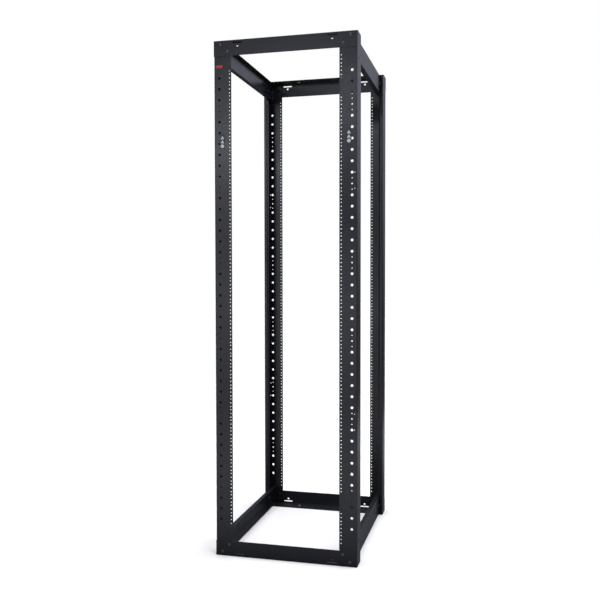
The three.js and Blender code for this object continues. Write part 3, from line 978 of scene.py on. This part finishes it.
# %% The floor
bpy.ops.object.select_all(action="DESELECT")
bpy.ops.mesh.primitive_plane_add(size=60, location=(0, 0, -0.2 * mm))
floor = bpy.context.object
floor.name = "studio_floor"
floor_paint, floor_tree, floor_shader = new_material("pale floor")
seen_directly = floor_tree.nodes.new("ShaderNodeLightPath").outputs["Is Camera Ray"]
place = floor_tree.nodes.new("ShaderNodeTexCoord").outputs["Object"]
from_rack = floor_tree.nodes.new("ShaderNodeVectorMath")
from_rack.operation = "LENGTH"
floor_tree.links.new(place, from_rack.inputs[0])
distance = from_rack.outputs["Value"]
floor_axes = floor_tree.nodes.new("ShaderNodeSeparateXYZ")
floor_tree.links.new(place, floor_axes.inputs[0])
# Painted light: for every ray but the camera's, the floor's colour holds a painted patch of light
# in front of the rack, painted shade close to its base and beside and behind it, and painted
# darkness beyond about three metres.
painted_light_ring = spread(floor_tree, distance, 1.0, 1.8, 0.0, 1.0)
painted_shade_rear_floor = blend_colours(floor_tree, painted_light_ring, (0.12, 0.12, 0.13), (0.25, 0.25, 0.27))
painted_light_front_floor = blend_colours(floor_tree, painted_light_ring, (0.45, 0.45, 0.47), (0.88, 0.88, 0.9))
painted_light_front_mask = spread(floor_tree, floor_axes.outputs["Y"], -0.75, -0.35, 1.0, 0.0)
painted_light_near_floor = blend_colours(floor_tree, painted_light_front_mask, painted_shade_rear_floor, painted_light_front_floor)
painted_darkness_far_mask = spread(floor_tree, distance, 2.4, 3.6, 0.0, 1.0)
painted_light_pool = blend_colours(floor_tree, painted_darkness_far_mask, painted_light_near_floor, (0.05, 0.05, 0.055))
# To the camera the floor is even white paper; every other ray sees the painted light and shade.
paper_and_painted_light = blend_colours(floor_tree, seen_directly, painted_light_pool, (0.80, 0.785, 0.765))
floor_tree.links.new(paper_and_painted_light, floor_shader.inputs["Base Color"])
floor_shader.inputs["Roughness"].default_value = 0.9
floor_shader.inputs["Specular IOR Level"].default_value = 0.0
floor.data.materials.append(floor_paint)
floor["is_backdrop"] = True
print("floor nodes:", len(floor_tree.nodes))

# %% [markdown]
# Long, thin lights in front draw narrow reflections on the mounting faces, and two wide ones on
# the right do the same on the sides. A sun's size is an angle in degrees; the others are in metres.


# %% Lights and camera
def add_light(kind, name, place, target, power, size, colour=(1, 1, 1)):
    """A light at a place, turned towards its target."""
    lamp = bpy.data.lights.new(name, kind)
    lamp.energy = power
    lamp.color = colour
    if kind == "AREA":
        lamp.shape = "RECTANGLE"
        lamp.size, lamp.size_y = size
    else:
        lamp.angle = math.radians(size)
    holder = bpy.data.objects.new(name, lamp)
    scene.collection.objects.link(holder)
    holder.location = place
    towards = Vector(target) - Vector(place)
    holder.rotation_euler = towards.to_track_quat("-Z", "Y").to_euler()


add_light("SUN", "overhead", (0, 0, 5), (0, 0, 0), 3.0, 50)
COOL = (0.84, 0.88, 1.0)
add_light("AREA", "right window", (3.4, 0.4, 2.5), (0, 0, 1.7), 45, (2.4, 1.5), COOL)
add_light("AREA", "front right key", (3.0, -2.8, 2.7), (-0.2, 0.3, 1.7), 60, (2.6, 1.8), COOL)
add_light("AREA", "high front strip", (-0.8, -5.2, 3.0), (0.1, -0.2, 1.9), 19, (1.6, 0.3), COOL)
add_light("AREA", "left front strip", (-2.1, -5.2, 2.5), (-0.3, -0.4, 1.7), 24, (1.3, 0.3), COOL)
add_light("AREA", "low front panel", (-1.3, -5.2, 0.8), (0.0, -0.4, 1.0), 26, (2.8, 1.2), COOL)

camera_data = bpy.data.cameras.new("view")
camera_data.lens = 46.51
camera_data.sensor_width = 36
camera = bpy.data.objects.new("view", camera_data)
scene.collection.objects.link(camera)
camera.location = (0.8361, -3.4101, 1.1749)
camera.rotation_euler = (math.radians(88.06), math.radians(0.079), math.radians(14.328))
scene.camera = camera
scene.view_settings.view_transform = "Standard"

# %% [markdown]
# Last, the box of the finished model is printed.

# %% Print the size
low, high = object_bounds()
print("visual box:", tuple(low), tuple(high))
